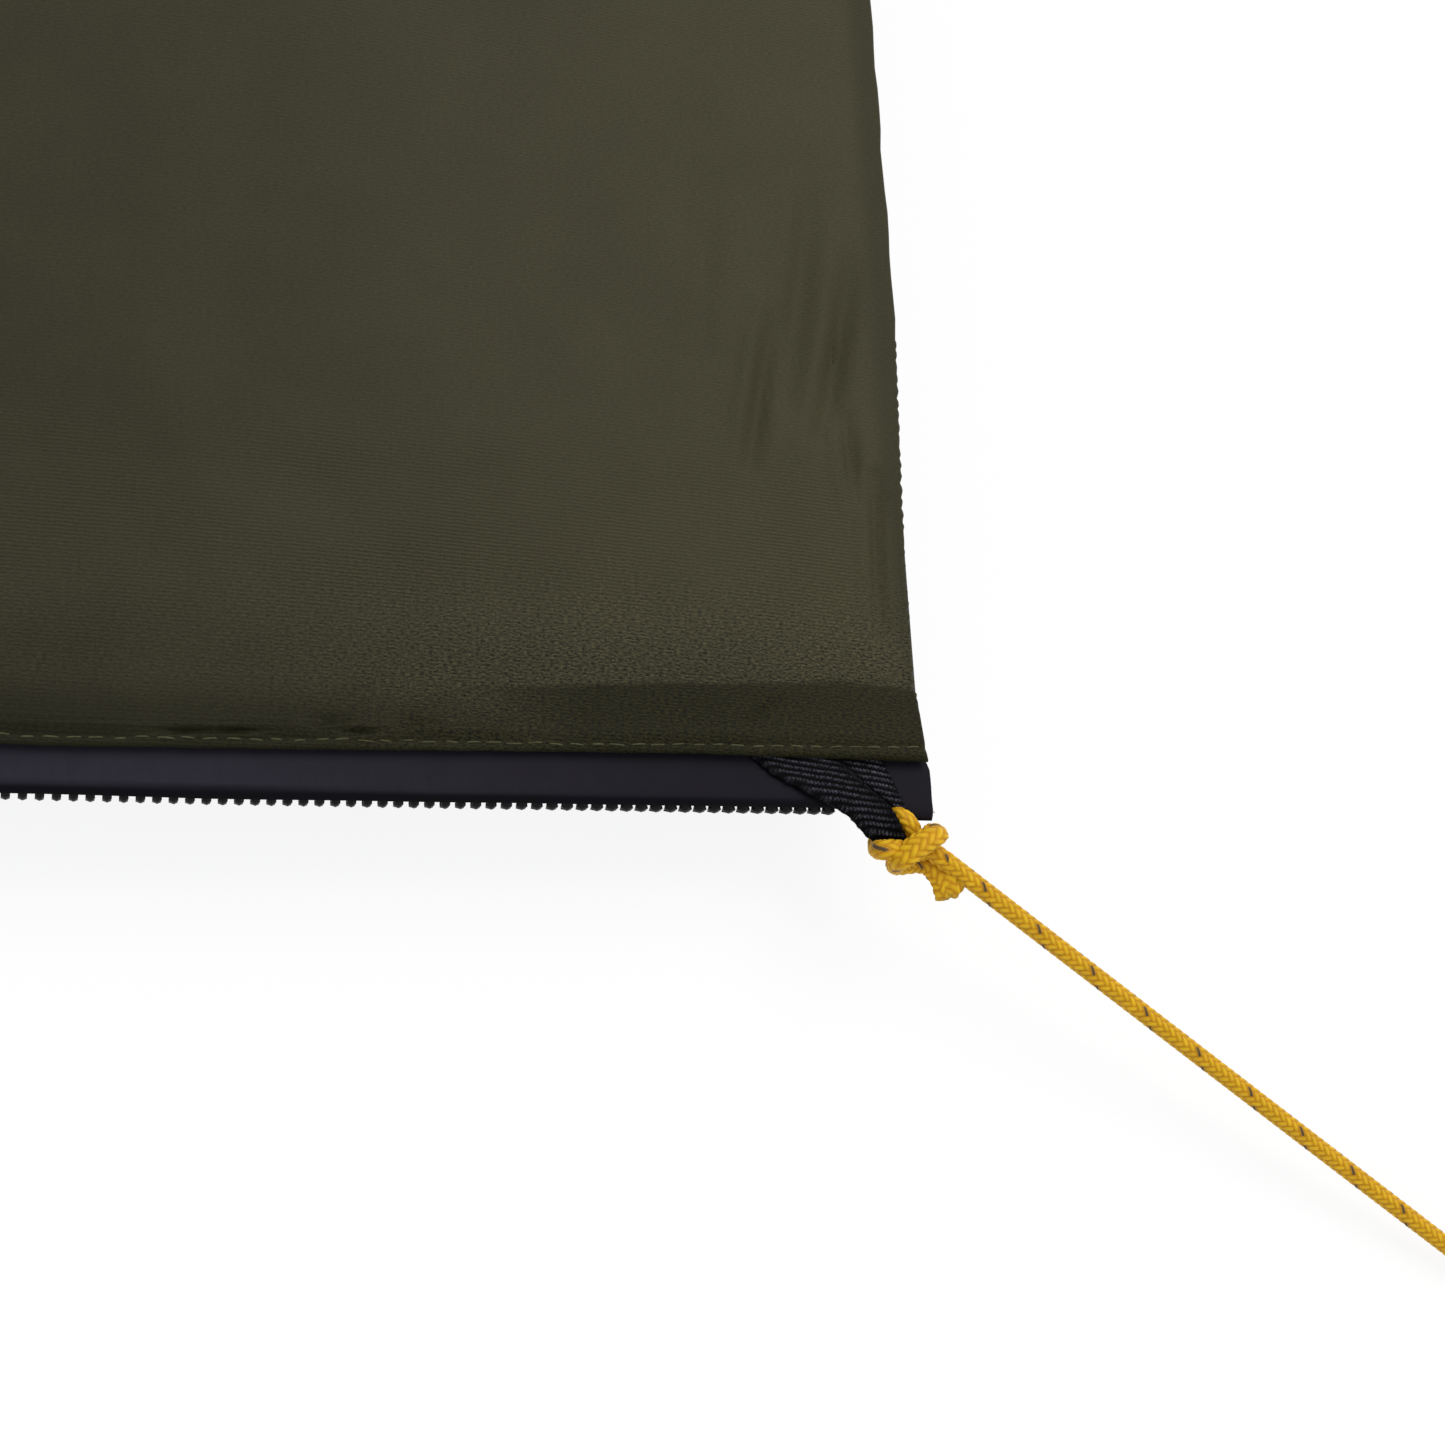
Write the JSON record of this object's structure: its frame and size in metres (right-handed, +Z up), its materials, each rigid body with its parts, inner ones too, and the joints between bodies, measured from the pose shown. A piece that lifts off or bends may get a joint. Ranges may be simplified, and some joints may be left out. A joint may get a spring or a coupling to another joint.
{
  "type": "bivy sack",
  "caption": "Bivy sack lying on the ground, with a lofted top cloth, a closed zip down its side, a parted zip across its foot, webbing loops at its corners and a guy line at one of them.",
  "frame": {"origin": "middle of the ground cloth's underside, on the ground", "axes": "+Y from the foot end to the head end, +X to the right as seen from the foot end, +Z up"},
  "size_m": [0.9124, 2.3084, 0.142],
  "materials": {
    "coated_cloth": "coated ripstop, low sheen",
    "zip_tape": "coated, satin",
    "zip_coil": "moulded nylon",
    "zip_metal": "black enamel",
    "zip_plastic": "moulded",
    "webbing": "woven, matte",
    "braided_cord": "braided sheath"
  },
  "bodies": {
    "sack": {"ground_panel": "coated_cloth", "top_panel": "coated_cloth", "left_gusset": "coated_cloth", "foot_hem_top": "coated_cloth", "foot_hem_ground": "coated_cloth", "side_hem_top": "coated_cloth", "side_hem_ground": "coated_cloth", "head_hem_top": "coated_cloth", "head_hem_ground": "coated_cloth", "foot_zip_tape_top": "zip_tape", "foot_zip_tape_ground": "zip_tape", "side_zip_tape_top": "zip_tape", "side_zip_tape_ground": "zip_tape", "foot_zip_coil_top": "zip_coil", "foot_zip_coil_ground": "zip_coil", "side_zip_coil_top": "zip_coil", "side_zip_coil_ground": "zip_coil", "foot_zip_stop_top": "zip_metal", "foot_zip_stop_ground": "zip_metal", "side_zip_foot_stop": "zip_metal", "side_zip_head_stop_top": "zip_metal", "side_zip_head_stop_ground": "zip_metal", "foot_zip_pin": "zip_plastic", "foot_zip_retainer_box": "zip_plastic", "loop_foot_right": "webbing", "loop_foot_left": "webbing", "loop_head_right": "webbing", "loop_head_left": "webbing", "guy_line": "braided_cord", "guy_line_knot": "braided_cord", "guy_line_end_loop": "braided_cord"},
    "foot_slider": {"foot_zip_slider": "zip_metal"},
    "foot_puller": {"foot_zip_puller": "zip_metal"},
    "side_slider": {"side_zip_slider": "zip_metal"},
    "side_puller": {"side_zip_puller": "zip_metal"}
  },
  "joints": [
    {"name": "foot_slider_slide", "type": "slide", "parent": "sack", "child": "foot_slider", "axis": [1, 0, 0], "range_m": [0, 0.7565]},
    {"name": "foot_puller_swing", "type": "hinge", "parent": "foot_slider", "child": "foot_puller", "pos_m": [-0.38125, -1.07165, 0.011], "axis": [0, 0, -1], "range_deg": [0, 180]},
    {"name": "side_slider_slide", "type": "slide", "parent": "sack", "child": "side_slider", "axis": [0, 1, 0], "range_m": [-2.133, 0], "deforming": ["side_zip_coil_top", "side_zip_coil_ground"]},
    {"name": "side_puller_swing", "type": "hinge", "parent": "side_slider", "child": "side_puller", "pos_m": [0.40365, 1.082, 0.011], "axis": [0, 0, 1], "range_deg": [0, 180]}
  ]
}
